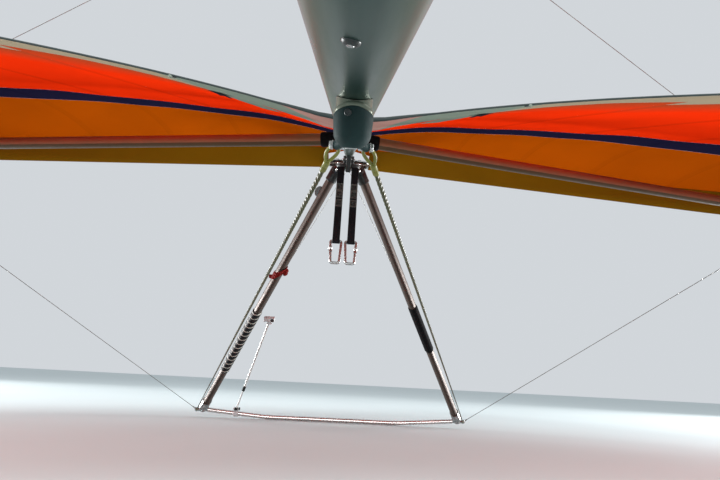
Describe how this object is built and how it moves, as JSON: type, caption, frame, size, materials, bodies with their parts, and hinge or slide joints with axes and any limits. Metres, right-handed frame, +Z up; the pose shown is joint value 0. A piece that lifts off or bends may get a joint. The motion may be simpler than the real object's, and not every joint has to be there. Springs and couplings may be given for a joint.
{
  "type": "hang glider",
  "caption": "Rigged two-seat hang glider: single-surface wing, kingpost and control frame with taut wires, hang loops and a camera pole, parked on its base bar and tail.",
  "frame": {"origin": "on the ground below the middle of the outer box, on the glider's centre plane", "axes": "+X to the right wing tip, +Y towards the nose, +Z up; the keel is pitched nose up as it stands on its base bar and tail"},
  "size_m": [10.031, 3.411, 2.1853],
  "materials": {
    "aluminium": "anodised tube, satin",
    "steel_fittings": "plated plates, bolts and rings",
    "wire": "plastic-coated stranded cable",
    "black_plastic": "moulded, satin",
    "foam_grip": "soft foam sleeve",
    "webbing": "woven webbing",
    "sail_red": "vermilion sailcloth",
    "sail_orange": "burnt orange sailcloth",
    "sail_navy": "navy sailcloth",
    "sail_cream": "cream hem cloth",
    "pocket_yellow": "yellow leading-edge cloth",
    "dark_cloth": "dark cloth"
  },
  "bodies": {
    "airframe": {"keel_tube": "aluminium", "keel_tail_cap": "black_plastic", "nose_plates": "steel_fittings", "leading_edge_tube_right": "aluminium", "leading_edge_tube_left": "aluminium", "leading_edge_end_plug_right": "black_plastic", "leading_edge_end_plug_left": "black_plastic", "crossbar_right": "aluminium", "crossbar_left": "aluminium", "crossbar_pad_right": "foam_grip", "crossbar_pad_left": "foam_grip", "crossbar_centre_strap": "steel_fittings", "crossbar_bracket_right": "steel_fittings", "crossbar_bracket_left": "steel_fittings", "sail_front_right": "sail_orange", "sail_front_left": "sail_orange", "sail_stripe_right": "sail_navy", "sail_stripe_left": "sail_navy", "sail_main_right": "sail_red", "sail_main_left": "sail_red", "sail_hem_right": "sail_cream", "sail_hem_left": "sail_cream", "leading_edge_pocket_right": "pocket_yellow", "leading_edge_pocket_left": "pocket_yellow", "keel_pocket": "dark_cloth", "kingpost_foot": "steel_fittings", "kingpost": "aluminium", "apex_bracket": "steel_fittings", "downtube_right": "aluminium", "downtube_left": "aluminium", "downtube_grip_left": "foam_grip", "downtube_grip_right": "foam_grip", "base_bar": "aluminium", "corner_fitting_right": "steel_fittings", "corner_fitting_left": "steel_fittings", "rear_wire_saddle": "black_plastic", "front_wire_right": "wire", "front_wire_left": "wire", "rear_wire_right": "wire", "rear_wire_left": "wire", "lower_side_wire_right": "wire", "lower_side_wire_left": "wire", "upper_side_wire_right": "wire", "upper_side_wire_left": "wire", "upper_front_wire": "wire", "upper_rear_wire": "wire", "hang_bracket": "steel_fittings", "pole_clamp": "steel_fittings"},
    "hang_loop_left": {"hang_loop_left": "webbing", "carabiner_left": "steel_fittings"},
    "hang_loop_right": {"hang_loop_right": "webbing", "carabiner_right": "steel_fittings"},
    "camera_pole": {"camera_pole": "aluminium", "action_camera": "black_plastic"}
  },
  "joints": [
    {"name": "hang_loop_left_swing", "type": "hinge", "parent": "airframe", "child": "hang_loop_left", "pos_m": [0, 0.31935, 1.09799], "axis": [1, 0, 0], "range_deg": [-40, 45]},
    {"name": "hang_loop_right_swing", "type": "hinge", "parent": "airframe", "child": "hang_loop_right", "pos_m": [0, 0.31935, 1.09799], "axis": [1, 0, 0], "range_deg": [-40, 45]},
    {"name": "camera_pole_tilt", "type": "hinge", "parent": "airframe", "child": "camera_pole", "pos_m": [-0.575, 1.44061, 0.05153], "axis": [1, 0, 0], "range_deg": [-75, 45]}
  ]
}
